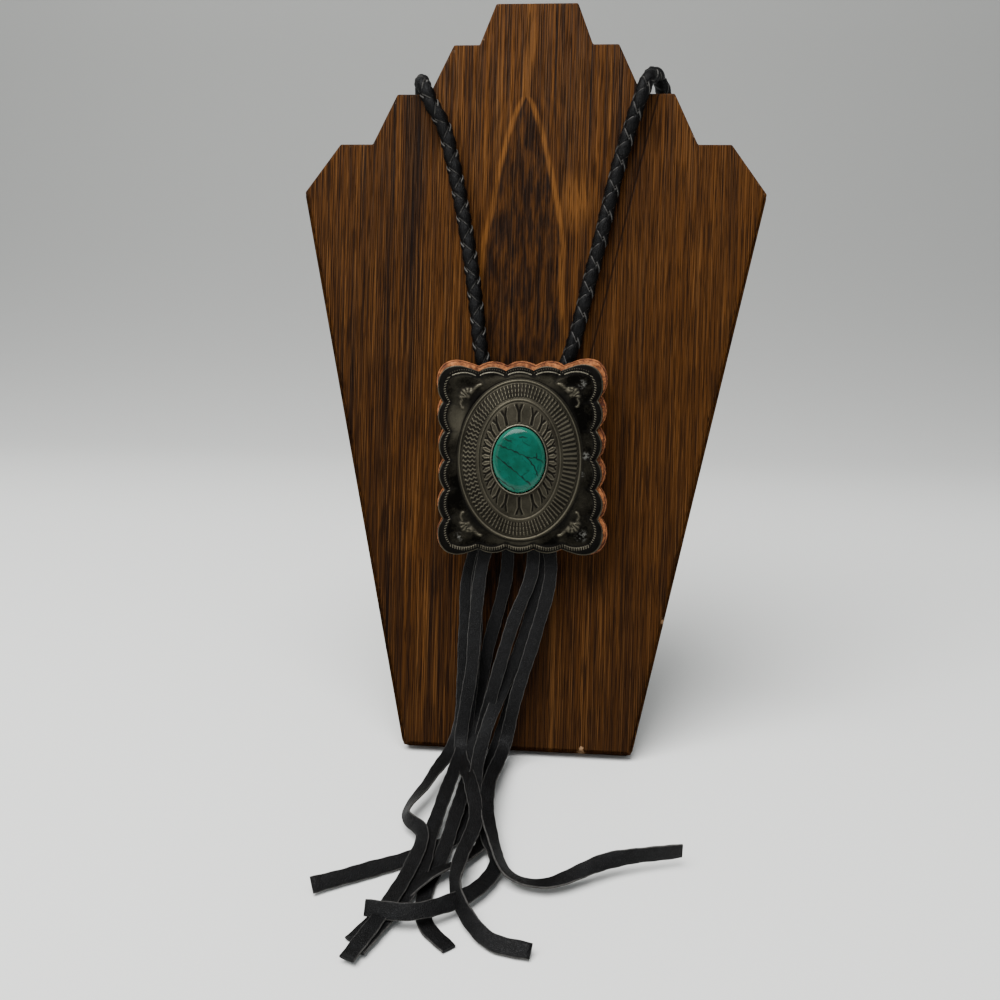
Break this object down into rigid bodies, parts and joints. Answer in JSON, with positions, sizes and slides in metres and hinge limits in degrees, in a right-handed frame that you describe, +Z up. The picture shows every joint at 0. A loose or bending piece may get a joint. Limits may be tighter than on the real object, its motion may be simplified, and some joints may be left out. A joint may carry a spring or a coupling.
{
  "type": "bolo tie on a wooden display stand",
  "caption": "Bolo tie with a scalloped cast concho, oval green stone and leather backing on a braided cord with flat lace ends, hung on a stepped wooden board with an easel leg.",
  "frame": {"origin": "on the surface the stand rests on, under the middle of the whole", "axes": "+X to the right of someone who looks at the board's face, +Y from the face to the easel leg, +Z up"},
  "size_m": [0.1936, 0.231, 0.3076],
  "materials": {
    "stained_wood": "dark stained, satin",
    "black_braid": "round braid, semi-gloss",
    "black_lace": "flat cut lace, satin",
    "tan_leather": "raw cut edge, matt",
    "antique_metal": "cast white metal, blackened and rubbed back",
    "green_stone": "polished stone with dark matrix",
    "keeper_metal": "dull plated"
  },
  "bodies": {
    "root": {"stand_board": "stained_wood", "stand_leg": "stained_wood", "neck_cord": "black_braid", "fringe": "black_lace", "leather_backing": "tan_leather", "concho": "antique_metal", "stone": "green_stone", "cord_keeper": "keeper_metal"}
  },
  "joints": []
}
